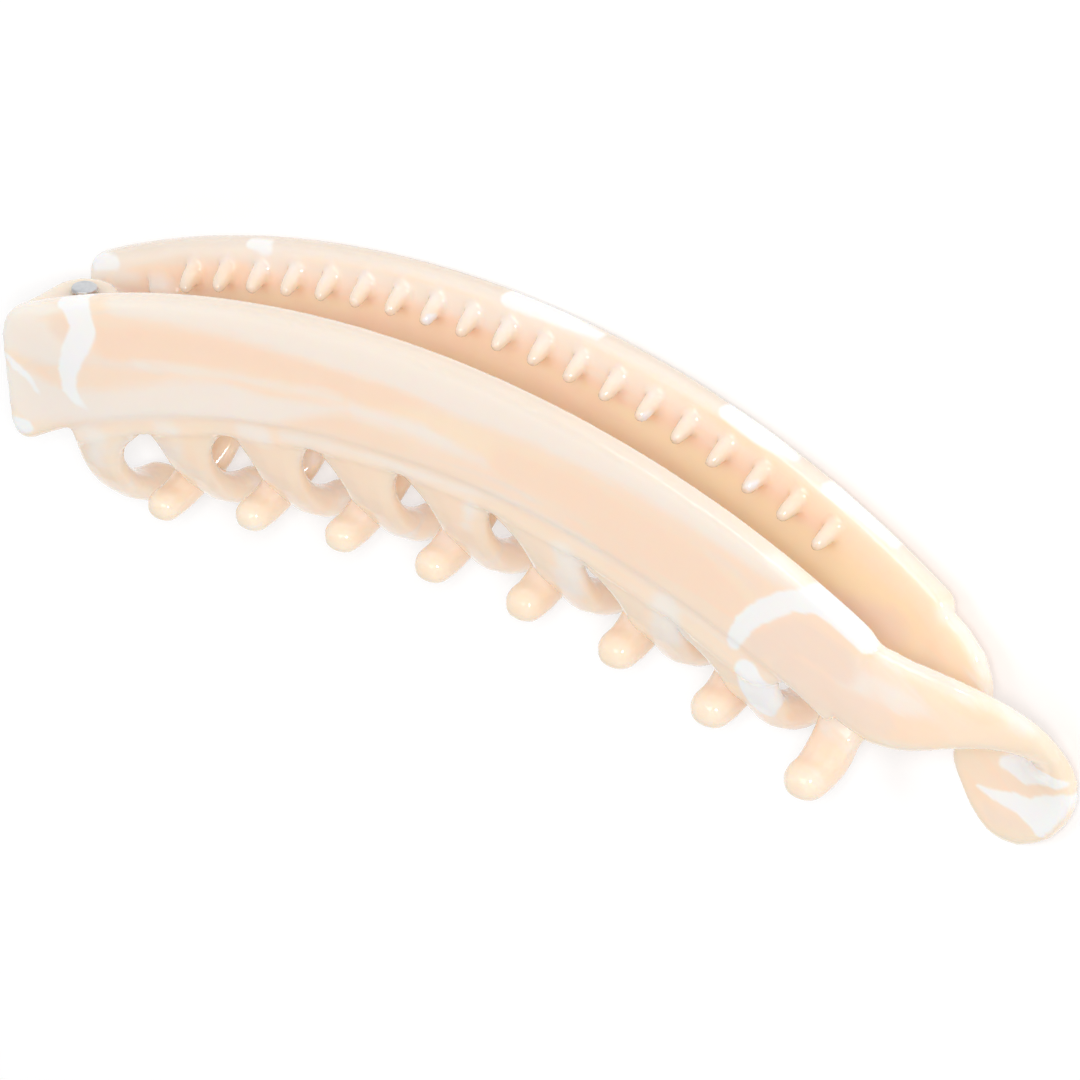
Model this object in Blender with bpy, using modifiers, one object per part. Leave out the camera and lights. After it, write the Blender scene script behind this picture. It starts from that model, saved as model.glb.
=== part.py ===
# Banana hair clip: two bowed, toothed arms of moulded plastic, riveted together at one end and
# hooked together at the other. It lies on its side, as it does on a table.
#
# Lengths below are in millimetres, in the clip's own directions: along runs from the hinge to the
# hook, across runs from the hook arm to the catch arm, and up runs towards the bowed back.
# lay_down() turns them into metres with the clip lying on its catch arm, +Z up.

import math

import bpy
import numpy as np

MM = 0.001

# Bow of the arms: heading in radians of the lower edge of the bar at a station
BEND = 0.00932
BEND_SKEW = 7.4e-6
BEND_TIGHTEN = 4.0e-7

# Bars of the two arms
BAR_START = -56.3
HOOK_BAR_END = 48.3
CATCH_BAR_END = 49.2
BAR_HEIGHT = 13.3
BAR_THICK = 2.3
BAR_HALF = 6.64
BAR_NARROWING = 1.17
BAR_BOWING = 0.65
BAR_LEAN = 1.75
BAR_EDGE = 0.65
HOOK_END_SKEW = 7.3
CATCH_END_SKEW = 5.4
END_SKEW_FROM = -36.0
END_DEEPER = 0.3
HOOK_HINGE_CORNER = 2.4
CATCH_HINGE_CORNER = 1.0
SHOULDER_CORNER = 1.3

# Big teeth: eight to an arm, set half a pitch apart on the two arms
TEETH = 8
PITCH = 11.45
HOOK_FIRST = -43.4
CATCH_FIRST = -37.2
HOOK_TOOTH_PAST = 4.6
CATCH_TOOTH_PAST = 3.4
TOOTH_WIDE_HINGE = 3.6
TOOTH_WIDE_CLASP = 4.6
TOOTH_DEEP_HINGE = 10.7
TOOTH_DEEP_MIDDLE = 12.4
TOOTH_DEEP_CLASP = 10.4
HOOK_DEEPER_HINGE = 0.35
HOOK_DEEPER_CLASP = -0.4
HOOK_TOOTH_LEAN = 1.35
WEB_DEEP = 1.8
WEB_DEEP_CLASP = 3.2
WEB_RUN_OUT = 2.6
WEB_RUN_IN = 0.3
WEB_RECESS = 0.35
TOOTH_CORNERS = 10
TOOTH_ROWS = (
    # share of the sweep, spare width on the side it leans to and on the other, thickness
    (0.00, 5.00, 3.60, 1.8), (0.10, 4.80, 1.80, 1.9), (0.16, 3.30, 1.10, 2.0),
    (0.22, 2.40, 0.70, 2.1), (0.30, 1.75, 0.45, 2.3), (0.40, 1.50, 0.35, 2.5),
    (0.52, 1.40, 0.30, 2.7), (0.64, 1.10, 0.20, None), (0.76, 0.10, 0.10, None),
    (0.88, 0.00, 0.00, None), (1.00, 0.00, 0.00, None),
)
TOOTH_SPACE = 4.85
FIRST_TOOTH_HALF = 3.5
FIRST_TOOTH_TAPER = 0.8
FIRST_TOOTH_LEAST = 3.0

# Small teeth along the inner faces
PEGS = 19
PEG_FIRST = -38.2
PEG_PITCH = 4.165
PEG_UP = 10.6
PEG_DROP = 1.5
PEG_REACH = 2.5
PEG_THICK = 1.9
END_PEG_STATION = -42.4
END_PEG_UP = 9.3
END_PEG_REACH = 1.3
END_PEG_WIDE = 4.2
END_PEG_THICK = 1.3

# Hinge: knuckles and rivet
PIN_ALONG = -49.2
PIN_ACROSS = -1.0
PIN_RADIUS = 0.8
PIN_HOLE_RADIUS = 1.1
RIVET_HEAD_RADIUS = 1.35
RIVET_HEAD_HIGH = 0.55
KNUCKLE_RADIUS = 3.45
KNUCKLE_TOP = 0.8
KNUCKLE_THICK = 2.6
KNUCKLE_GAP = 0.3
MIDDLE_KNUCKLE_THICK = 5.4

# Catch lobe past the shoulder
LOBE_THICK = 1.7
LOBE_INSET = 0.45
LOBE_ROWS = (
    # station, lower edge, upper edge
    (43.0, 1.2, 11.8),
    (48.0, 0.4, 12.4),
    (51.0, 1.5, 12.5),
    (53.6, 3.0, 12.0),
    (55.6, 4.8, 10.7),
    (56.8, 6.5, 9.2),
)

# Hook tongue past the shoulder, from the bar over the end of the catch lobe and down behind it
TONGUE_THICK = 2.3
TONGUE_ROWS = (
    # outer edge: along, across, up; inner edge: along, across, up
    ((48.0, -5.3, 2.0), (46.5, -4.1, -10.5)),
    ((53.2, -5.0, -0.6), (51.4, -4.1, -12.0)),
    ((59.0, -4.2, -1.6), (56.0, -3.8, -11.3)),
    ((63.4, -2.2, -3.4), (59.7, -2.8, -10.0)),
    ((66.0, 0.6, -6.2), (62.4, -1.2, -9.6)),
    ((67.1, 3.0, -9.2), (64.2, 0.9, -10.2)),
    ((67.5, 4.8, -12.4), (64.4, 3.4, -11.6)),
    ((67.8, 6.0, -15.7), (63.2, 5.3, -13.2)),
    ((66.8, 6.8, -19.3), (60.8, 6.7, -14.6)),
    ((64.2, 7.2, -22.8), (58.3, 7.2, -15.0)),
    ((60.6, 7.2, -24.8), (55.6, 7.2, -15.4)),
    ((57.3, 7.2, -24.6), (53.2, 7.2, -16.0)),
    ((55.2, 7.2, -22.3), (52.5, 7.2, -17.6)),
)

# Where the clip's directions start: the foot of the middle of its box, as it lies
REST_HEIGHT = 8.831
MIDDLE_ALONG = 6.265
MIDDLE_UP = -5.785

BAR_STATIONS = 54
HOOK_SIDE = -1
CATCH_SIDE = 1


def lay_down(along, across, up):
    """Metres, lying on the catch arm."""
    return ((along - MIDDLE_ALONG) * MM, (up - MIDDLE_UP) * MM, (REST_HEIGHT - across) * MM)


# The bowed line of the lower edge, summed in short steps from its middle
STEP = 0.25
LINE_STATIONS = np.arange(-80.0, 80.0 + STEP, STEP)
LINE_HEADINGS = (
    BEND * LINE_STATIONS
    + BEND_SKEW * LINE_STATIONS**2
    + BEND_TIGHTEN * LINE_STATIONS**3
)
LINE_MIDDLE = len(LINE_STATIONS) // 2
LINE_ALONG = np.concatenate([[0.0], np.cumsum(np.cos(LINE_HEADINGS[1:]) * STEP)])
LINE_UP = np.concatenate([[0.0], -np.cumsum(np.sin(LINE_HEADINGS[1:]) * STEP)])
LINE_ALONG = LINE_ALONG - LINE_ALONG[LINE_MIDDLE]
LINE_UP = LINE_UP - LINE_UP[LINE_MIDDLE]


def on_line(station, height=0.0):
    """Along and up of a point at a height over the lower edge of the bar."""
    heading = np.interp(station, LINE_STATIONS, LINE_HEADINGS)
    along = np.interp(station, LINE_STATIONS, LINE_ALONG) + height * math.sin(heading)
    up = np.interp(station, LINE_STATIONS, LINE_UP) + height * math.cos(heading)
    return float(along), float(up)


def outer_half(station, height):
    """Distance from the middle plane to a bar's outer face."""
    share = station / 50.0
    low = BAR_HALF - BAR_NARROWING * share - BAR_BOWING * share**2
    return low + BAR_LEAN * height / BAR_HEIGHT


def collection(name):
    made = bpy.data.collections.new(name)
    bpy.context.scene.collection.children.link(made)
    return made


def material(name, colour, rough, metallic=0.0):
    made = bpy.data.materials.new(name)
    made.use_nodes = True
    shader = made.node_tree.nodes["Principled BSDF"]
    shader.inputs["Base Color"].default_value = (*colour, 1.0)
    shader.inputs["Roughness"].default_value = rough
    shader.inputs["Metallic"].default_value = metallic
    made.diffuse_color = (*colour, 1.0)
    return made


def loft(name, rings, into, inside_out=False):
    """One closed body through rings of equal count, with a flat cap at each end.

    The rings are lists of (along, across, up). The two sides of the clip are mirror images, so
    one of them asks for its faces the other way round.
    """
    count = len(rings[0])
    points = [lay_down(*p) for ring in rings for p in ring]
    faces = []
    for r in range(len(rings) - 1):
        for k in range(count):
            a = r * count + k
            b = r * count + (k + 1) % count
            faces.append((a, b, b + count, a + count))
    faces.append(tuple(reversed(range(count))))
    faces.append(tuple(range((len(rings) - 1) * count, len(rings) * count)))
    if inside_out:
        faces = [tuple(reversed(face)) for face in faces]
    mesh = bpy.data.meshes.new(name)
    mesh.from_pydata(points, [], faces)
    mesh.update()
    made = bpy.data.objects.new(name, mesh)
    into.objects.link(made)
    return made


def round_section(middle, side_way, thick_way, wide, thick, corners=8, square=2.6):
    """A ring with rounded corners: a superellipse across two directions."""
    ring = []
    for k in range(corners):
        turn = 2 * math.pi * (k + 0.5) / corners
        c = math.cos(turn)
        s = math.sin(turn)
        u = math.copysign(abs(c) ** (2 / square), c) * wide / 2
        v = math.copysign(abs(s) ** (2 / square), s) * thick / 2
        ring.append(tuple(np.array(middle) + u * side_way + v * thick_way))
    return ring


def corner_drop(distance, radius):
    """How far a round corner falls away at a distance from the end."""
    if distance >= radius:
        return 0.0
    return radius - math.sqrt(radius**2 - (radius - distance) ** 2)


def bar_ring(side, station, low, high):
    """Section of a bar, with soft edges at its back and crisp ones at its lower edge."""
    e = BAR_EDGE
    shape = (
        (0.0, low + e), (0.0, high - e), (e * 0.3, high - e * 0.3), (e, high),
        (BAR_THICK - e, high), (BAR_THICK - e * 0.3, high - e * 0.3), (BAR_THICK, high - e),
        (BAR_THICK, low + e), (BAR_THICK - e * 0.5, low), (e * 0.5, low),
    )
    ramp = min(1.0, max(0.0, (END_SKEW_FROM - station) / (END_SKEW_FROM - BAR_START)))
    skew = (HOOK_END_SKEW if side == HOOK_SIDE else CATCH_END_SKEW) * ramp
    ring = []
    for inward, height in shape:
        share = height / BAR_HEIGHT
        along, up = on_line(station + skew * share, height - END_DEEPER * ramp**2 * (1 - share))
        ring.append((along, side * (outer_half(station, height) - inward), up))
    return ring


def make_bar(name, side, into):
    """The bowed bar of an arm, with round corners at the hinge and at the shoulder."""
    radius = HOOK_HINGE_CORNER if side == HOOK_SIDE else CATCH_HINGE_CORNER
    bar_end = HOOK_BAR_END if side == HOOK_SIDE else CATCH_BAR_END
    stations = list(np.linspace(BAR_START + radius, bar_end - SHOULDER_CORNER, BAR_STATIONS))
    shares = (0.0, 0.12, 0.4)
    stations = [BAR_START + share * radius for share in shares] + stations
    stations += [bar_end - share * SHOULDER_CORNER for share in reversed(shares)]
    rings = []
    for station in stations:
        hinge = corner_drop(station - BAR_START, radius)
        shoulder = corner_drop(bar_end - station, SHOULDER_CORNER)
        rings.append(bar_ring(side, station, hinge, BAR_HEIGHT - hinge - shoulder))
    return loft(name, rings, into, inside_out=side == HOOK_SIDE)


def tooth_rings(side, root_along, first):
    """Rings down one big tooth: a broad root that sweeps inwards to a round finger."""
    share = (root_along - HOOK_FIRST) / (PITCH * (TEETH - 1))
    station = float(np.interp(root_along, LINE_ALONG, LINE_STATIONS))
    tip_wide = TOOTH_WIDE_HINGE + (TOOTH_WIDE_CLASP - TOOTH_WIDE_HINGE) * share
    end_deep = TOOTH_DEEP_HINGE if share < 0.5 else TOOTH_DEEP_CLASP
    deep = TOOTH_DEEP_MIDDLE - (TOOTH_DEEP_MIDDLE - end_deep) * abs(2 * share - 1) ** 1.8
    if side == HOOK_SIDE:
        deep += HOOK_DEEPER_HINGE + (HOOK_DEEPER_CLASP - HOOK_DEEPER_HINGE) * share
    tip_thick = tip_wide * 0.8
    root_up = on_line(station)[1]
    root_across = outer_half(station, 0.0) - WEB_RECESS - 1.0
    reach = root_across + (HOOK_TOOTH_PAST if side == HOOK_SIDE else CATCH_TOOTH_PAST)
    rings = []
    for t, lean, other, thick in TOOTH_ROWS:
        turn = t * math.pi / 2
        across = root_across - reach * (1 - math.cos(turn))
        down = deep * math.sin(turn)
        if side == HOOK_SIDE and t < 0.45:
            lean *= HOOK_TOOTH_LEAN
        lean += tip_wide / 2
        other += tip_wide / 2
        if t > 0.45:
            # where the two arms' teeth pass each other
            lean = min(lean, TOOTH_SPACE - tip_wide / 2 if t < 0.6 else TOOTH_SPACE / 2)
        low, high = (lean, other) if side == HOOK_SIDE else (other, lean)
        if first:
            low = min(max(low, FIRST_TOOTH_LEAST), max(FIRST_TOOTH_LEAST, FIRST_TOOTH_HALF - FIRST_TOOTH_TAPER * t))
        slope = math.atan2(deep * math.cos(turn), reach * math.sin(turn) + 1e-9)
        thick_way = np.array([0.0, side * math.sin(slope), -math.cos(slope)])
        middle = (root_along + (high - low) / 2, side * across, root_up - down)
        rings.append((middle, thick_way, low + high, thick or tip_thick))
    end_way = np.array([0.0, -side, -0.12])
    middle, thick_way, wide, thick = rings[-1]
    for forward, shrink in ((0.5, 0.86), (0.85, 0.52)):
        moved = np.array(middle) + end_way * forward * thick / 2
        rings.append((tuple(moved), thick_way, wide * shrink, thick * shrink))
    along_way = np.array([1.0, 0.0, 0.0])
    return [round_section(m, along_way, n, w, k, TOOTH_CORNERS) for m, n, w, k in rings]


def make_teeth(name, side, first_along, into):
    """All big teeth of an arm, as one operand."""
    made = []
    for k in range(TEETH):
        rings = tooth_rings(side, first_along + k * PITCH, side == HOOK_SIDE and k == 0)
        made.append(loft(f"{name}_{k + 1}", rings, into, inside_out=side == CATCH_SIDE))
    return made


def make_web(name, side, first_along, into):
    """The thin strip under the bar that joins the roots of the teeth."""
    last_along = first_along + (TEETH - 1) * PITCH
    start = float(np.interp(first_along, LINE_ALONG, LINE_STATIONS)) - 3.4
    end = float(np.interp(last_along, LINE_ALONG, LINE_STATIONS)) + 5.2
    rings = []
    for station in np.linspace(start, end, BAR_STATIONS):
        share = (station - start) / (end - start)
        # deeper towards the clasp, then running out up into the bar
        deep = WEB_DEEP + (WEB_DEEP_CLASP - WEB_DEEP) * max(0.0, 2 * share - 1)
        deep = (deep + WEB_RUN_IN) * min(1.0, (end - station) / WEB_RUN_OUT) - WEB_RUN_IN
        ring = []
        for inward, height in ((0.0, -deep), (0.0, 1.0), (1.7, 1.0), (1.7, -deep)):
            along, up = on_line(station, height)
            ring.append((along, side * (outer_half(station, 0.0) - WEB_RECESS - inward), up))
        rings.append(ring)
    return loft(name, rings, into, inside_out=side == HOOK_SIDE)


def make_pegs(name, side, into):
    """The row of small round teeth on the inner face."""
    made = []
    pegs = []
    if side == CATCH_SIDE:
        pegs.append((END_PEG_STATION, END_PEG_UP, END_PEG_REACH, END_PEG_WIDE, END_PEG_THICK))
    for k in range(PEGS):
        pegs.append((PEG_FIRST + k * PEG_PITCH, PEG_UP, PEG_REACH, PEG_THICK, PEG_THICK))
    for k, (station, peg_up, reach, peg_wide, peg_thick) in enumerate(pegs):
        face = outer_half(station, peg_up) - BAR_THICK
        tilt = math.atan2(PEG_DROP, reach)
        thick_way = np.array([0.0, -side * math.sin(tilt), math.cos(tilt)])
        along_way = np.array([1.0, 0.0, 0.0])
        rings = []
        for share, size in ((-0.35, 1.15), (0.5, 1.0), (0.85, 0.8), (1.0, 0.45)):
            along, up = on_line(station, peg_up - PEG_DROP * share)
            middle = (along, side * (face - reach * share), up)
            wide = peg_wide * size
            thick = peg_thick * size
            rings.append(round_section(middle, along_way, thick_way, wide, thick, 6, 2.0))
        made.append(loft(f"{name}_{k + 1}", rings, into, inside_out=side == HOOK_SIDE))
    return made


def knuckle_outline(side):
    """Plan of a knuckle: a round eye about the pin with a neck into its own bar."""
    wall = side * (outer_half(PIN_ALONG, 6.0) - BAR_THICK * 0.5)
    neck = KNUCKLE_RADIUS
    outline = [(PIN_ALONG + side * neck, wall)]
    for k in range(13):
        turn = math.pi * k / 12
        outline.append((
            PIN_ALONG + side * KNUCKLE_RADIUS * math.cos(turn),
            PIN_ACROSS - side * KNUCKLE_RADIUS * math.sin(turn),
        ))
    outline.append((PIN_ALONG - side * neck, wall))
    return outline


def make_knuckle(name, side, top, thick, into):
    outline = knuckle_outline(side)
    low = [(along, across, top - thick) for along, across in outline]
    high = [(along, across, top) for along, across in outline]
    return loft(name, [high, low], into)


def make_lobe(name, side, into):
    """The thinner rounded tab past the shoulder of the catch arm."""
    rings = []
    for station, low, high in LOBE_ROWS:
        ring = []
        e = 0.5
        shape = (
            (0.0, low + e), (0.0, high - e), (e, high), (LOBE_THICK - e, high),
            (LOBE_THICK, high - e), (LOBE_THICK, low + e), (LOBE_THICK - e, low), (e, low),
        )
        for inward, height in shape:
            along, up = on_line(station, height)
            ring.append((along, side * (outer_half(station, height) - LOBE_INSET - inward), up))
        rings.append(ring)
    return loft(name, rings, into, inside_out=side == HOOK_SIDE)


def with_halfway(points):
    """The points of a smooth line, with one more halfway along each stretch."""
    last = len(points) - 1
    out = []
    for k in range(last):
        before = points[max(k - 1, 0)]
        after = points[min(k + 2, last)]
        out.append(points[k])
        out.append((9 * (points[k] + points[k + 1]) - before - after) / 16)
    return out + [points[last]]


def make_tongue(name, into):
    """The twisted hook: sections between an outer and an inner edge."""
    outers = with_halfway([np.array(row[0]) for row in TONGUE_ROWS])
    inners = with_halfway([np.array(row[1]) for row in TONGUE_ROWS])
    middles = [(a + b) / 2 for a, b in zip(outers, inners)]
    rings = []
    for k in range(len(middles)):
        side_way = outers[k] - inners[k]
        wide = float(np.linalg.norm(side_way))
        side_way = side_way / wide
        ahead = middles[min(k + 1, len(middles) - 1)] - middles[max(k - 1, 0)]
        thick_way = np.cross(ahead, side_way)
        thick_way = thick_way / np.linalg.norm(thick_way)
        thick = TONGUE_THICK * (1.0 if k < len(middles) - 1 else 0.6)
        rings.append(round_section(middles[k], side_way, thick_way, wide, thick, 12, 3.2))
    return loft(name, rings, into)


def make_rivet(name, into):
    """A metal rivet: a low domed head, a shank through the knuckles and a set foot."""
    top = KNUCKLE_TOP + KNUCKLE_GAP
    low = KNUCKLE_TOP - 2 * KNUCKLE_THICK - MIDDLE_KNUCKLE_THICK - 3 * KNUCKLE_GAP
    foot = low - RIVET_HEAD_HIGH
    profile = (
        (0.0, top + RIVET_HEAD_HIGH), (RIVET_HEAD_RADIUS * 0.6, top + RIVET_HEAD_HIGH * 0.93),
        (RIVET_HEAD_RADIUS * 0.93, top + RIVET_HEAD_HIGH * 0.6), (RIVET_HEAD_RADIUS, top),
        (PIN_RADIUS, top), (PIN_RADIUS, low), (RIVET_HEAD_RADIUS, low),
        (RIVET_HEAD_RADIUS * 0.85, foot), (0.0, foot),
    )
    mesh = bpy.data.meshes.new(name)
    mesh.from_pydata(
        [(radius * MM, 0.0, height * MM) for radius, height in profile],
        [(k, k + 1) for k in range(len(profile) - 1)],
        [],
    )
    made = bpy.data.objects.new(name, mesh)
    into.objects.link(made)
    screw = made.modifiers.new("turned", "SCREW")
    screw.axis = "Z"
    screw.steps = 20
    screw.render_steps = 20
    screw.use_merge_vertices = True
    screw.merge_threshold = 0.00001
    made.location = lay_down(PIN_ALONG, PIN_ACROSS, 0.0)
    made.rotation_euler = (-math.pi / 2, 0.0, 0.0)
    return made


def make_pin_cutter(name, into):
    bpy.ops.mesh.primitive_cylinder_add(
        vertices=20, radius=PIN_HOLE_RADIUS * MM, depth=40 * MM,
        location=lay_down(PIN_ALONG, PIN_ACROSS, 0.0), rotation=(math.pi / 2, 0.0, 0.0),
    )
    made = bpy.context.active_object
    made.name = name
    for held in list(made.users_collection):
        held.objects.unlink(made)
    into.objects.link(made)
    return made


def boolean(target, other, operation):
    step = target.modifiers.new(f"{operation}_{other.name}", "BOOLEAN")
    step.operation = operation
    step.solver = "EXACT"
    step.object = other
    other.hide_render = True
    other.display_type = "WIRE"


def join(name, pieces):
    """Several closed pieces that don't touch, as one operand."""
    mesh = bpy.data.meshes.new(name)
    points = []
    faces = []
    for piece in pieces:
        start = len(points)
        points += [tuple(v.co) for v in piece.data.vertices]
        faces += [tuple(start + k for k in polygon.vertices) for polygon in piece.data.polygons]
    mesh.from_pydata(points, [], faces)
    holder = pieces[0].users_collection[0]
    for piece in pieces:
        bpy.data.objects.remove(piece)
    made = bpy.data.objects.new(name, mesh)
    holder.objects.link(made)
    return made


def smooth(piece):
    piece.data.shade_smooth()
    piece.data.set_sharp_from_angle(angle=math.radians(40))


for old in list(bpy.data.objects):
    bpy.data.objects.remove(old)

clip = collection("banana_hair_clip")
tools = collection("cutters_and_operands")

peach = material("moulded_plastic_peach", (0.96, 0.76, 0.62), 0.18)
cream = material("moulded_plastic_cream", (0.93, 0.84, 0.74), 0.18)
steel = material("nickelled_steel", (0.62, 0.65, 0.68), 0.22, 1.0)

pin_hole = make_pin_cutter("pin_hole", tools)

# Catch arm: bar, teeth, pegs, lobe and the middle knuckle
catch_arm = make_bar("catch_arm", CATCH_SIDE, clip)
boolean(catch_arm, make_web("catch_web", CATCH_SIDE, CATCH_FIRST, tools), "UNION")
catch_teeth = make_teeth("catch_tooth", CATCH_SIDE, CATCH_FIRST, tools)
boolean(catch_arm, join("catch_odd_teeth", catch_teeth[0::2]), "UNION")
boolean(catch_arm, join("catch_even_teeth", catch_teeth[1::2]), "UNION")
boolean(catch_arm, join("catch_pegs", make_pegs("catch_peg", CATCH_SIDE, tools)), "UNION")
boolean(catch_arm, make_lobe("catch_lobe", CATCH_SIDE, tools), "UNION")
middle_top = KNUCKLE_TOP - KNUCKLE_THICK - KNUCKLE_GAP
middle = make_knuckle("middle_knuckle", CATCH_SIDE, middle_top, MIDDLE_KNUCKLE_THICK, tools)
boolean(catch_arm, middle, "UNION")
boolean(catch_arm, pin_hole, "DIFFERENCE")
catch_arm.data.materials.append(peach)

# Hook arm: bar, teeth, pegs, tongue and the two outer knuckles
hook_arm = make_bar("hook_arm", HOOK_SIDE, clip)
boolean(hook_arm, make_web("hook_web", HOOK_SIDE, HOOK_FIRST, tools), "UNION")
hook_teeth = make_teeth("hook_tooth", HOOK_SIDE, HOOK_FIRST, tools)
boolean(hook_arm, join("hook_odd_teeth", hook_teeth[0::2]), "UNION")
boolean(hook_arm, join("hook_even_teeth", hook_teeth[1::2]), "UNION")
boolean(hook_arm, join("hook_pegs", make_pegs("hook_peg", HOOK_SIDE, tools)), "UNION")
boolean(hook_arm, make_tongue("hook_tongue", tools), "UNION")
lower_top = middle_top - MIDDLE_KNUCKLE_THICK - KNUCKLE_GAP
upper = make_knuckle("upper_knuckle", HOOK_SIDE, KNUCKLE_TOP, KNUCKLE_THICK, tools)
lower = make_knuckle("lower_knuckle", HOOK_SIDE, lower_top, KNUCKLE_THICK, tools)
boolean(hook_arm, upper, "UNION")
boolean(hook_arm, lower, "UNION")
boolean(hook_arm, pin_hole, "DIFFERENCE")
hook_arm.data.materials.append(cream)

rivet = make_rivet("hinge_rivet", clip)
rivet.data.materials.append(steel)
smooth(rivet)
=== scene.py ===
import math

import bpy
import numpy as np
from mathutils import Matrix, Vector


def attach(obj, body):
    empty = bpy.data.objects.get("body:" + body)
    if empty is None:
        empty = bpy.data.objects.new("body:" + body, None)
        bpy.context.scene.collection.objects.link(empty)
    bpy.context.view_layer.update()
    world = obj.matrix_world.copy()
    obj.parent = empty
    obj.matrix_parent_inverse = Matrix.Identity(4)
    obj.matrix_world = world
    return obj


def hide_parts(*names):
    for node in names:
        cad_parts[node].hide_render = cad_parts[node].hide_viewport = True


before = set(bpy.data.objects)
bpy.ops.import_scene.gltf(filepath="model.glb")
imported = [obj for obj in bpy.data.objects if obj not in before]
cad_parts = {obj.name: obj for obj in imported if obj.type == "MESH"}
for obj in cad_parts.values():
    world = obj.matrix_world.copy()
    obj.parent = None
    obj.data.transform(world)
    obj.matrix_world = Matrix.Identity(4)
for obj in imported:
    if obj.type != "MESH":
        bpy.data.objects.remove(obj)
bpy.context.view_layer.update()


# The catch arm.
# One moulded arm of marbled cellulose acetate: bowed bar, big curved teeth, small pegs inside, and
# the rounded lobe that the other arm hooks over. It is tumbled, so every edge is soft.

MM = 0.001
MERGE_WITHIN = 0.01 * MM
# The clip's own directions are along, from the hinge to the hook, across, from the hook arm to the
# catch arm, and up, towards its bowed back. The shared frame's origin lies here in them, in mm.
MIDDLE_ALONG = 6.265
MIDDLE_UP = -5.785
REST_HEIGHT = 8.831
# heading of the bow at a station: radians per mm, mm2 and mm3
BOW = 0.00932
BOW_SKEW = 7.4e-6
BOW_TIGHTEN = 4.0e-7
BOW_REACH = 90.0
BOW_STEP = 0.25
SQUARING_ROUNDS = 8
VOXEL = 0.30 * MM
TUMBLING_ROUNDS = 8
TUMBLING_SHARE = 0.5


def cad_copy(node, name):
    """A node's CAD solid as a piece of its own, with the corners of its facets merged."""
    piece = bpy.data.objects.new(name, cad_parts[node].data.copy())
    bpy.context.scene.collection.objects.link(piece)
    piece.data.materials.clear()
    bpy.ops.object.select_all(action="DESELECT")
    piece.select_set(True)
    bpy.context.view_layer.objects.active = piece
    bpy.ops.object.mode_set(mode="EDIT")
    bpy.ops.mesh.select_all(action="SELECT")
    bpy.ops.mesh.remove_doubles(threshold=MERGE_WITHIN)
    bpy.ops.object.mode_set(mode="OBJECT")
    return piece


def moulded_copy(node, name):
    """A node's CAD solid as a tumbled moulding: remeshed finely, with its edges rounded over."""
    piece = cad_copy(node, name)
    fine = piece.modifiers.new("fine", "REMESH")
    fine.mode = "VOXEL"
    fine.voxel_size = VOXEL
    bpy.ops.object.modifier_apply(modifier="fine")
    tumbled = piece.modifiers.new("tumbled", "SMOOTH")
    tumbled.factor = TUMBLING_SHARE
    tumbled.iterations = TUMBLING_ROUNDS
    bpy.ops.object.modifier_apply(modifier="tumbled")
    bpy.ops.object.shade_smooth()
    return piece


def write_bow_places(piece):
    """Each point's station along the bow, height over the bar's lower edge and side, in mm."""
    steps = np.arange(-BOW_REACH, BOW_REACH, BOW_STEP)
    headings = BOW * steps + BOW_SKEW * steps**2 + BOW_TIGHTEN * steps**3
    line_along = np.cumsum(np.cos(headings) * BOW_STEP)
    line_up = -np.cumsum(np.sin(headings) * BOW_STEP)
    middle = len(steps) // 2
    line_along -= line_along[middle]
    line_up -= line_up[middle]
    points = np.zeros(len(piece.data.vertices) * 3)
    piece.data.vertices.foreach_get("co", points)
    points = points.reshape(-1, 3) / MM
    along = points[:, 0] + MIDDLE_ALONG
    up = points[:, 1] + MIDDLE_UP
    side = REST_HEIGHT - points[:, 2]
    station = np.interp(along, line_along, steps)
    # each round slides the station along the bow, until the point is square to it
    for _ in range(SQUARING_ROUNDS):
        heading = np.interp(station, steps, headings)
        ahead = along - np.interp(station, steps, line_along)
        above = up - np.interp(station, steps, line_up)
        station = station + ahead * np.cos(heading) - above * np.sin(heading)
    height = ahead * np.sin(heading) + above * np.cos(heading)
    places = np.stack([station, height, side], 1)
    kept = piece.data.attributes.new("bow_mm", "FLOAT_VECTOR", "POINT")
    kept.data.foreach_set("vector", places.ravel())
    return places


# a swirl goes deep into the block, so a mm across the clip counts as half of one
THROUGH = 0.5
FAR_FROM_SWIRLS = 20.0


def write_swirls(piece, places, swirls):
    """For each colour, how far each point is from its nearest swirl, in mm: below 0 is inside."""
    squeeze = np.array([1.0, 1.0, THROUGH])
    for name, lines in swirls.items():
        nearest = np.full(len(places), FAR_FROM_SWIRLS)
        for side, points in lines:
            for start, end in zip(points, points[1:]):
                station, height, half = start
                next_station, next_height, next_half = end
                first = np.array([station, height, side * THROUGH])
                run = np.array([next_station - station, next_height - height, 0.0])
                away = places * squeeze - first
                share = np.clip(away @ run / (run @ run), 0.0, 1.0)
                gap = np.linalg.norm(away - share[:, None] * run, axis=1)
                nearest = np.minimum(nearest, gap - half - (next_half - half) * share)
        kept = piece.data.attributes.new(name, "FLOAT", "POINT")
        kept.data.foreach_set("value", nearest)


def linear(hex_colour):
    """An sRGB hex colour as linear RGBA."""
    made = []
    for start in (1, 3, 5):
        value = int(hex_colour[start:start + 2], 16) / 255
        made.append(value / 12.92 if value <= 0.04045 else ((value + 0.055) / 1.055) ** 2.4)
    return (*made, 1.0)


def add_node(tree, kind, settings=(), links=()):
    """A node with its settings, each the name of a property or else a socket, and its links."""
    made = tree.nodes.new(kind)
    for key, value in dict(settings).items():
        if isinstance(key, str) and hasattr(made, key):
            setattr(made, key, value)
        else:
            made.inputs[key].default_value = value
    for socket, source in dict(links).items():
        tree.links.new(source, made.inputs[socket])
    return made


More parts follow.
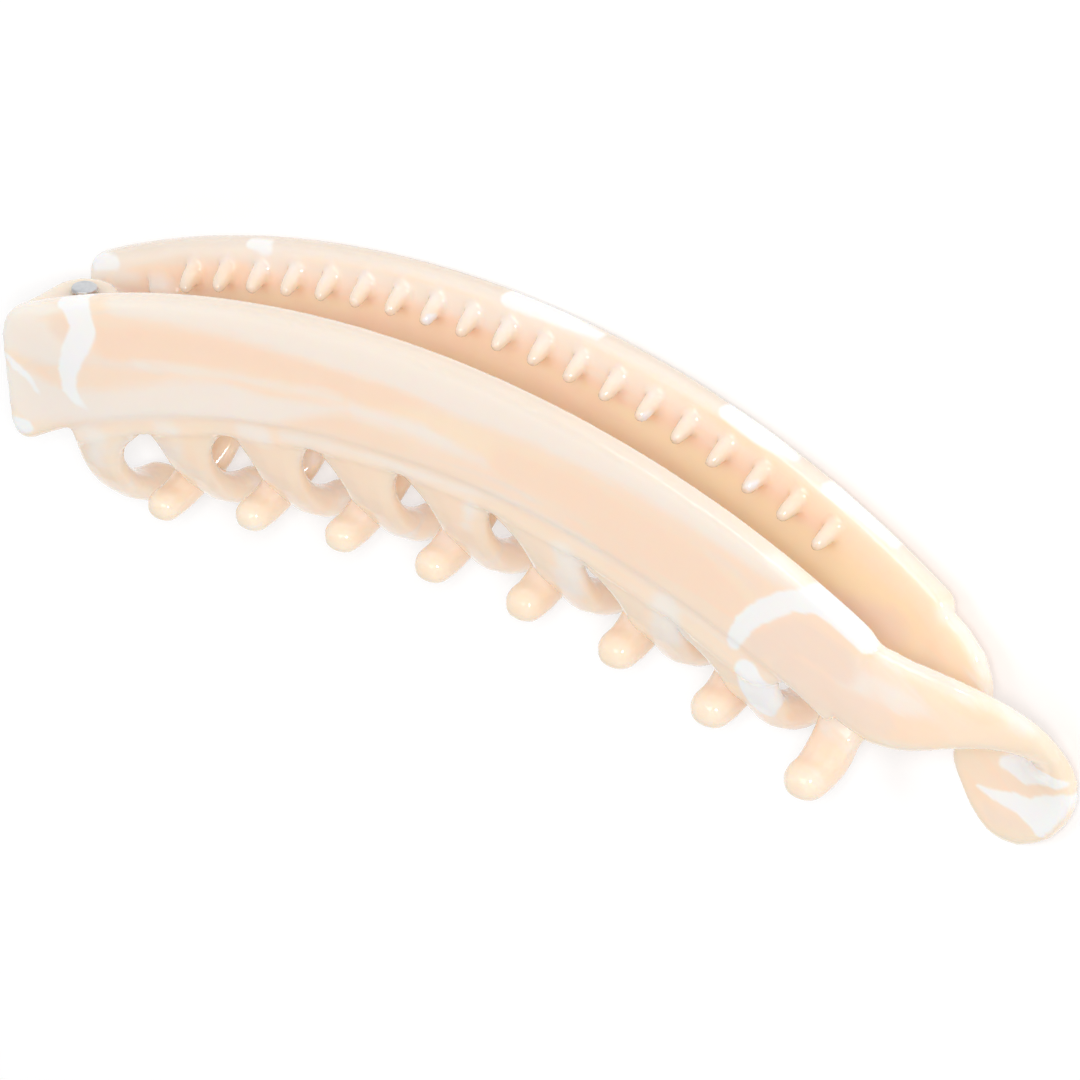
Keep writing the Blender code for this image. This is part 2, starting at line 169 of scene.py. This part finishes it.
# Cellulose acetate, block-cast in swirls of peach, cream and white, moulded and polished. Light
# goes a few millimetres into it, so thin teeth glow and edges look waxy under a wet gloss.
PEACH = "#F8DDCA"
PALE_PEACH = "#F2DED0"
DEEP_PEACH = "#FDDAC5"
# the inner peach is partly the acetate's own colour and partly painted light: lightened so the
# shaded trough between the arms looks lit through the thin walls
INNER_PEACH_AND_PAINTED_GLOW = "#FFE3C6"
CREAM = "#EFE5DD"
BEIGE = "#EFDACB"
# the rim colour is painted shade: a greyer tone laid along the back edges to darken them
RIM_PAINTED_SHADE = "#D9CBBE"
WHITE = "#F1F1F0"
SWIRL_COLOURS = (
    # swirl, its colour, how soft its edge is in mm, how far the flow wobbles it in mm, strength
    # the inner swirl is partly painted light, lifting the shaded inner faces
    ("inner_peach_and_painted_glow_mm", INNER_PEACH_AND_PAINTED_GLOW, 1.8, 0.8, 0.9),
    ("deep_mm", DEEP_PEACH, 0.8, 0.9, 1.0),
    ("cream_mm", CREAM, 0.9, 0.9, 0.92),
    ("beige_mm", BEIGE, 0.8, 0.7, 0.85),
    # the rim swirl is painted shade along the back edges
    ("rim_painted_shade_mm", RIM_PAINTED_SHADE, 0.8, 0.3, 0.8),
    ("white_mm", WHITE, 0.25, 0.35, 0.96),
)


def marbled_acetate(name, seed):
    """The marbled and polished acetate of one arm: the seed says where in the block it was cut."""
    made = bpy.data.materials.new(name)
    made.use_nodes = True
    tree = made.node_tree
    shader = tree.nodes["Principled BSDF"]
    place = add_node(tree, "ShaderNodeAttribute", {"attribute_name": "bow_mm"}).outputs["Vector"]

    def flow(long, wide, detail, offset):
        """Noise drawn out along the bow, with its lengths in mm."""
        scaled = add_node(
            tree, "ShaderNodeVectorMath",
            {
                "operation": "MULTIPLY_ADD",
                1: (1 / long, 1 / wide, 1 / wide), 2: (offset, seed, 0.0),
            },
            {0: place},
        )
        return add_node(
            tree, "ShaderNodeTexNoise",
            {"Scale": 1.0, "Detail": detail, "Roughness": 0.5, "Distortion": 0.6},
            {"Vector": scaled.outputs[0]},
        ).outputs["Fac"]

    # the block's own marbling: long faint streaks of peach, with some cream and white folded in
    faint = flow(long=26.0, wide=5.0, detail=3.0, offset=0.0)
    streaks = add_node(tree, "ShaderNodeValToRGB", {}, {"Fac": faint})
    stops = streaks.color_ramp.elements
    stops[0].position = 0.36
    stops[0].color = linear(DEEP_PEACH)
    stops[1].position = 0.72
    stops[1].color = linear(CREAM)
    for position, colour in ((0.46, PEACH), (0.58, PEACH), (0.64, PALE_PEACH)):
        stop = stops.new(position)
        stop.color = linear(colour)
    colour = streaks.outputs["Color"]

    # The bands and patches that can be told apart, each with its edge pulled about by the flow.
    # Sockets 6 and 7 of a colour mix are the two colours that it mixes.
    pull = flow(long=8.0, wide=1.8, detail=3.0, offset=7.0)
    push = add_node(tree, "ShaderNodeMath", {"operation": "SUBTRACT", 1: 0.5}, {0: pull})
    for swirl, shade, soft, wobble, strength in SWIRL_COLOURS:
        distance = add_node(tree, "ShaderNodeAttribute", {"attribute_name": swirl}).outputs["Fac"]
        pulled = add_node(
            tree, "ShaderNodeMath", {"operation": "MULTIPLY_ADD", 1: 2.0 * wobble},
            {0: push.outputs["Value"], 2: distance},
        )
        mask = add_node(
            tree, "ShaderNodeMapRange",
            {
                "interpolation_type": "SMOOTHSTEP",
                "From Min": soft, "From Max": -soft, "To Max": strength,
            },
            {"Value": pulled.outputs["Value"]},
        )
        colour = add_node(
            tree, "ShaderNodeMix", {"data_type": "RGBA", 7: linear(shade)},
            {0: mask.outputs["Result"], 6: colour},
        ).outputs[2]
    tree.links.new(colour, shader.inputs["Base Color"])

    # polishing leaves a faint waviness a few millimetres across, and handling a fine haze
    wave = flow(long=3.2, wide=2.6, detail=1.0, offset=3.0)
    haze = flow(long=0.5, wide=0.3, detail=2.0, offset=5.0)
    bump = add_node(
        tree, "ShaderNodeBump", {"Strength": 0.3, "Distance": 0.1 * MM}, {"Height": wave},
    )
    tree.links.new(bump.outputs["Normal"], shader.inputs["Normal"])
    gloss = add_node(tree, "ShaderNodeMapRange", {"To Min": 0.07, "To Max": 0.17}, {"Value": haze})
    tree.links.new(gloss.outputs["Result"], shader.inputs["Roughness"])
    shader.inputs["IOR"].default_value = 1.48
    shader.inputs["Subsurface Weight"].default_value = 0.85
    shader.inputs["Subsurface Radius"].default_value = (1.0, 0.72, 0.5)
    shader.inputs["Subsurface Scale"].default_value = 4.5 * MM
    shader.inputs["Coat Weight"].default_value = 0.5
    shader.inputs["Coat Roughness"].default_value = 0.05
    return made


# Each swirl is a line on one side of the clip, through points that give its station along the bow,
# its height over the bar's lower edge and its half width there, all in mm.
CATCH_SWIRLS = {
    # inner face: its own peach, lightened as painted light where the trough between the arms lies
    # in shade
    "inner_peach_and_painted_glow_mm": (
        (5.5, ((-35, 8.5, 0.7), (-20, 7.5, 1.2), (-7, 6.5, 1.8), (13, 6.5, 2.4),
               (31, 6.5, 2.8), (46, 7.5, 2.8))),
    ),
    "deep_mm": (
        (6.0, ((-40, 9.6, 1.2), (-20, 9.6, 1.4), (10, 9.6, 1.4), (36, 9.6, 1.2))),
        (8.6, ((-40, 5, 1.6), (-12, 7, 2.0), (10, 6, 2.2), (30, 4, 1.4))),
    ),
    "cream_mm": (
        (6.5, ((-50, 12.2, 1.4), (-46, 12.7, 1.1), (-17, 12.8, 1.1), (11, 13, 1.0),
               (24, 13.3, 0.8), (47, 13.3, 0.8))),
        (6.3, ((-48, 11, 0.9), (-46, 10.3, 0.5))),
        (4.7, ((49.2, 12.4, 0.9), (51.6, 12.4, 0.6), (54.5, 11.2, 0.5))),
        (8.6, ((-52, 2, 1.8), (-20, 2, 1.4), (0, 3.5, 0.8))),
        (8.6, ((-30, 11, 1.6), (0, 11, 2.2), (30, 10.5, 1.8))),
    ),
    "beige_mm": (
        (6.8, ((40, 4, 2.0), (46, 7, 2.4))),
    ),
    # painted shade: a greyer line along the back edge, darkening it
    "rim_painted_shade_mm": (
        (8.0, ((-54, 13.4, 0.8), (-20, 14, 1.3), (20, 14, 1.3), (48, 13.6, 1.0))),
    ),
    "white_mm": (
        # patches on the back edge
        (6.5, ((-50, 12.7, 0.9), (-48, 12.2, 0.7))),
        (6.6, ((-31, 13, 0.5), (-29, 12.7, 0.7))),
        (6.6, ((-1.3, 13.2, 0.8), (1.4, 13.3, 0.9), (4.8, 13.2, 0.6), (8.6, 13.3, 0.3))),
        (6.0, ((23, 13.3, 0.7), (26.5, 13.3, 0.9), (30.4, 13.3, 0.3))),
        (5.7, ((34.5, 13.3, 0.6), (38, 13.3, 0.5), (42, 13.3, 0.3))),
        # tips of a few small pegs
        (4.0, ((-8.6, 9.6, 0.5), (-8.3, 9.8, 0.4))),
        (3.5, ((16.5, 9.5, 0.4), (16.7, 10, 0.3))),
        (3.0, ((28.7, 9.9, 0.4), (29.1, 10.4, 0.3))),
        # outer face
        (8.6, ((-44, 9, 1.0), (-38, 5.6, 1.2), (-36, 1, 0.5))),
        (7.8, ((20, 1, 0.4), (24, 4, 0.9), (29, 5, 0.4))),
    ),
}
catch_arm = moulded_copy("catch_arm", "catch_arm_moulding")
catch_places = write_bow_places(catch_arm)
write_swirls(catch_arm, catch_places, CATCH_SWIRLS)
catch_arm.data.materials.append(marbled_acetate("moulded_marbled_acetate_peach", 4.0))
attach(catch_arm, "catch_side")
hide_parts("catch_arm")


# The hook arm.
# The same moulding in mirror image, with the two outer knuckles and a ribbon-like tongue drawn out
# past the shoulder, which curls over the lobe and down behind it to hold the clip shut.

HOOK_SWIRLS = {
    # inner face: its own peach, lightened as painted light
    "inner_peach_and_painted_glow_mm": (
        (-4.0, ((-30, 6, 1.2), (0, 6, 1.6), (36, 6, 1.4))),
    ),
    "deep_mm": (
        # down the middle of the bar
        (-8.0, ((-38, 8.5, 1.7), (-20, 7.6, 1.7), (-11.5, 7, 1.6), (-5, 7, 1.1), (-1, 8, 0.5))),
        (-7.0, ((-18, 1.5, 0.5), (-11.5, 2, 0.9), (-4, 1.5, 0.7))),
        (-7.0, ((9, 5, 1.8), (17, 5.5, 2.2), (24, 5.2, 2.5), (31, 5.5, 2.4), (35.5, 5.5, 1.4))),
        # second to fifth tooth: deep peach that is partly their own colour and partly painted
        # light, lifting them where they face down into shade
        (-5.5, ((-31, -4, 3.0), (-10, -5, 3.5), (5, -5, 3.0))),
        # hinge block and tongue
        (-8.0, ((-47.5, 6, 0.5), (-48, 4.5, 1.2), (-47, 3.5, 0.4))),
        (-5.0, ((53, 6, 1.4), (56, 9, 1.8))),
        (6.0, ((59.5, -3, 1.6), (63, -4.5, 1.4))),
    ),
    "cream_mm": (
        # along the back edge
        (-8.5, ((-35, 12.5, 1.1), (-25, 12, 1.9), (-15.5, 11.5, 2.5), (3.5, 11, 2.9),
                (10.5, 11.2, 2.6), (25, 11.9, 2.1), (38, 12.4, 1.6), (41, 12.8, 1.2))),
        # along the lower edge by the hinge, and thin streaks over it
        (-7.5, ((-52, 3, 1.6), (-40.5, 1.6, 1.8), (-25, 2.5, 2.2), (-20, 2, 1.4),
                (-9.5, 4.4, 0.3))),
        (-8.0, ((-35, 6, 0.2), (-20.5, 5.1, 0.3), (-10.5, 5.2, 0.3))),
        (-7.5, ((-9, 4.4, 0.7), (-0.5, 4.4, 1.0), (6, 3.8, 0.6))),
        # hinge block
        (-8.5, ((-48.7, 11.2, 2.6), (-44.7, 9, 2.6))),
        (-8.0, ((-52, 5.6, 2.4), (-47.5, 3, 1.8))),
        # thin light rim under the bar, a painted highlight along the bar's rounded lower edge
        (-6.4, ((-19, -0.6, 0.4), (2.5, -0.8, 0.4), (9, 0.5, 0.4), (22.5, 0, 0.4),
                (35, -0.2, 0.4))),
        # roots of the teeth
        (-6.5, ((-45, -1.5, 1.3), (-47, -3.7, 1.0))),
        (-6.8, ((-35.7, -1, 0.8), (-34, -1.3, 1.0))),
        (-6.7, ((-24.5, -0.7, 0.8), (-22, -1.1, 1.1))),
        (-5.8, ((4.2, -1.8, 0.5), (3, -5, 0.4))),
        (-5.0, ((15.8, -3, 1.6), (15.8, -7, 1.6))),
        (-5.0, ((28.2, -1.5, 1.7), (28.6, -5.3, 2.0))),
        # tongue, and a painted highlight in cream along its rounded top edge
        (-5.8, ((47.6, 6.7, 1.0), (49.2, 8, 1.3))),
        (-4.5, ((49.8, 13, 0.7), (54.2, 15.2, 0.8), (57.7, 15.9, 0.8))),
        (0.0, ((57.7, 15.9, 0.8), (61, 15.3, 0.7))),
    ),
    "beige_mm": (
        (-6.0, ((39, 2.3, 1.5), (43, 7.4, 2.2), (46.4, 8, 2.3))),
        (-5.5, ((43.2, 2.4, 2.6), (49, 4, 2.2), (52.3, 6.3, 1.6))),
        (-8.6, ((-42.4, 10.8, 1.1), (-42.8, 10.3, 1.2))),
        (6.2, ((66.5, 0.3, 1.0), (63.6, -1.9, 0.8))),
    ),
    # painted shade: greyer lines along the back edge and the tongue's top edge, darkening them
    "rim_painted_shade_mm": (
        (-8.0, ((-44, 13.8, 0.5), (-20, 13.9, 1.2), (20, 13.9, 1.3), (36, 13.8, 1.1))),
        (-5.0, ((50, 14, 0.6), (57, 16.6, 0.8), (60, 16.6, 0.5))),
    ),
    "white_mm": (
        # S-shaped swirl on the hinge block, the streak beside it, and a spot at the corner
        (-8.5, ((-41, 13.2, 1.0), (-39.8, 12.7, 1.8), (-39.9, 10, 1.4), (-42.3, 7.8, 1.3),
                (-44.3, 5.8, 1.2), (-45.2, 4, 0.9), (-44.9, 2.7, 0.8), (-43.7, 1, 0.4))),
        (-8.1, ((-50.9, 8.7, 0.3), (-50.5, 7.4, 0.5), (-49.6, 6, 0.4), (-49.4, 4, 0.1))),
        (-7.4, ((-54.2, 1.6, 1.0), (-53.2, 1.2, 0.7))),
        # crescent by the shoulder
        (-6.0, ((36.3, 0, 0.9), (36.9, 3.5, 1.0), (38.4, 7, 1.1), (40.3, 10.4, 1.1),
                (42.4, 12.6, 1.4), (44.4, 12.9, 1.3), (46.4, 12.7, 1.0), (47.9, 12.5, 0.8))),
        # last tooth
        (-4.5, ((38.8, -2.2, 1.6), (40.4, -3.8, 2.4), (41.2, -6, 1.6))),
        # end of the tongue
        (6.0, ((61, 3.6, 0.6), (62.6, 5.5, 1.5), (63.4, 7.5, 1.3))),
        (4.4, ((63.4, 7.5, 1.5), (64.9, 9, 1.0), (65.8, 10, 0.4))),
        (6.1, ((61, -1, 0.2), (62.7, 0, 0.6), (64.8, 2, 1.1), (66.7, 3.3, 1.8), (66.9, 8.2, 0.8))),
        (6.2, ((66.9, 3, 1.5), (68, 2, 0.6))),
    ),
}
hook_arm = moulded_copy("hook_arm", "hook_arm_moulding")
hook_places = write_bow_places(hook_arm)
write_swirls(hook_arm, hook_places, HOOK_SWIRLS)
hook_arm.data.materials.append(marbled_acetate("moulded_marbled_acetate_cream", 9.0))
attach(hook_arm, "hook_side")
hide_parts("hook_arm")


# The hinge rivet.
# A small nickel-plated steel rivet through the three knuckles, with a low, slightly domed head
# over the upper one. The press that set it rounded its rim, and the plating is bright.

NICKEL = "#D6D8DA"
WORN_NICKEL = "#C2C5C9"
RIM_ROUNDING = 0.22
RIM_SHARPER_THAN = math.radians(40)
SMOOTH_UP_TO = math.radians(32)
SCUFFS_PER_METRE = 2600.0
DENT_DEPTH = 0.03
rivet = cad_copy("hinge_rivet", "hinge_rivet_plated")
rim = rivet.modifiers.new("rim", "BEVEL")
rim.width = RIM_ROUNDING * MM
rim.segments = 4
rim.limit_method = "ANGLE"
rim.angle_limit = RIM_SHARPER_THAN
bpy.ops.object.modifier_apply(modifier="rim")
bpy.ops.object.shade_smooth_by_angle(angle=SMOOTH_UP_TO)
plated = bpy.data.materials.new("nickel_plated_steel_pressed")
plated.use_nodes = True
plated_shader = plated.node_tree.nodes["Principled BSDF"]
plated_shader.inputs["Metallic"].default_value = 1.0
spot = add_node(plated.node_tree, "ShaderNodeTexCoord").outputs["Object"]
scuffs = add_node(
    plated.node_tree, "ShaderNodeTexNoise", {"Scale": SCUFFS_PER_METRE, "Detail": 4.0},
    {"Vector": spot},
)
worn = add_node(
    plated.node_tree, "ShaderNodeMapRange", {"To Min": 0.22, "To Max": 0.45},
    {"Value": scuffs.outputs["Fac"]},
)
plated.node_tree.links.new(worn.outputs["Result"], plated_shader.inputs["Roughness"])
tarnish = add_node(
    plated.node_tree, "ShaderNodeMix",
    {"data_type": "RGBA", 6: linear(NICKEL), 7: linear(WORN_NICKEL)},
    {0: scuffs.outputs["Fac"]},
)
plated.node_tree.links.new(tarnish.outputs[2], plated_shader.inputs["Base Color"])
dents = add_node(
    plated.node_tree, "ShaderNodeBump", {"Strength": 0.2, "Distance": DENT_DEPTH * MM},
    {"Height": scuffs.outputs["Fac"]},
)
plated.node_tree.links.new(dents.outputs["Normal"], plated_shader.inputs["Normal"])
rivet.data.materials.append(plated)
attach(rivet, "hook_side")
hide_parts("hinge_rivet")


# The table, light and camera.
# A plain white table under a wide soft light, seen from where the photograph was taken.

TABLE_SIDE = 6.0
TABLE_GREY = 0.72
TABLE_GLOW = 0.3
ROOM_LIGHT = 0.635
bpy.ops.object.select_all(action="DESELECT")
bpy.ops.mesh.primitive_plane_add(size=TABLE_SIDE, location=(0.0, 0.0, 0.0))
table = bpy.context.active_object
table.name = "white_table"
table_paint = bpy.data.materials.new("white_table_paint")
table_paint.use_nodes = True
table_shader = table_paint.node_tree.nodes["Principled BSDF"]
table_shader.inputs["Base Color"].default_value = (TABLE_GREY, TABLE_GREY, TABLE_GREY, 1.0)
table_shader.inputs["Roughness"].default_value = 0.9
table_shader.inputs["Specular IOR Level"].default_value = 0.1
table_shader.inputs["Emission Color"].default_value = (1.0, 1.0, 1.0, 1.0)
table_shader.inputs["Emission Strength"].default_value = TABLE_GLOW
table.data.materials.append(table_paint)

# the camera as found from the photograph: angles in radians, distance and target in the clip's mm
AZIMUTH = 0.6868
ELEVATION = 0.5071
DISTANCE = 1238.04
PIXELS_PER_MM = 10.4277
TARGET = (7.6678, 0.0, -7.358)
SENSOR = 36.0
PHOTO_WIDTH = 1080


def laid_down(along, across, up):
    """A place in the clip's mm, in the shared frame."""
    return Vector((
        (along - MIDDLE_ALONG) * MM, (up - MIDDLE_UP) * MM, (REST_HEIGHT - across) * MM,
    ))


def laid_way(along, across, up):
    """A direction along the clip's axes, in the shared frame."""
    return Vector((along, up, -across))


back = Vector((
    math.sin(AZIMUTH) * math.cos(ELEVATION),
    -math.cos(AZIMUTH) * math.cos(ELEVATION),
    math.sin(ELEVATION),
))
right = Vector((math.cos(AZIMUTH), math.sin(AZIMUTH), 0.0))
above = back.cross(right)
eye = laid_down(*(Vector(TARGET) + back * DISTANCE))
columns = [laid_way(*way) for way in (right, above, back)]
camera_data = bpy.data.cameras.new("camera")
camera = bpy.data.objects.new("camera", camera_data)
bpy.context.scene.collection.objects.link(camera)
camera.matrix_world = Matrix.Translation(eye) @ Matrix(columns).transposed().to_4x4()
camera_data.sensor_width = SENSOR
camera_data.lens = SENSOR * DISTANCE * PIXELS_PER_MM / PHOTO_WIDTH
camera_data.clip_start = 0.1
camera_data.clip_end = 20.0
bpy.context.scene.camera = camera


def softbox(name, place, size, power):
    """A square soft light that looks at the clip."""
    data = bpy.data.lights.new(name, "AREA")
    data.size = size
    data.energy = power
    lamp = bpy.data.objects.new(name, data)
    bpy.context.scene.collection.objects.link(lamp)
    lamp.location = place
    lamp.rotation_euler = Vector(place).to_track_quat("Z", "Y").to_euler()


# the wide light is nearly overhead; the small one by the camera reaches in between the arms
softbox("overhead_softbox", place=(-0.1, 0.45, 0.88), size=0.45, power=1.6)
softbox("camera_side_softbox", place=(0.53, 0.46, 0.7), size=0.2, power=4.0)

world = bpy.data.worlds.new("white_room")
bpy.context.scene.world = world
world.use_nodes = True
world.node_tree.nodes["Background"].inputs["Color"].default_value = (1.0, 1.0, 1.0, 1.0)
world.node_tree.nodes["Background"].inputs["Strength"].default_value = ROOM_LIGHT
bpy.context.scene.view_settings.view_transform = "Standard"
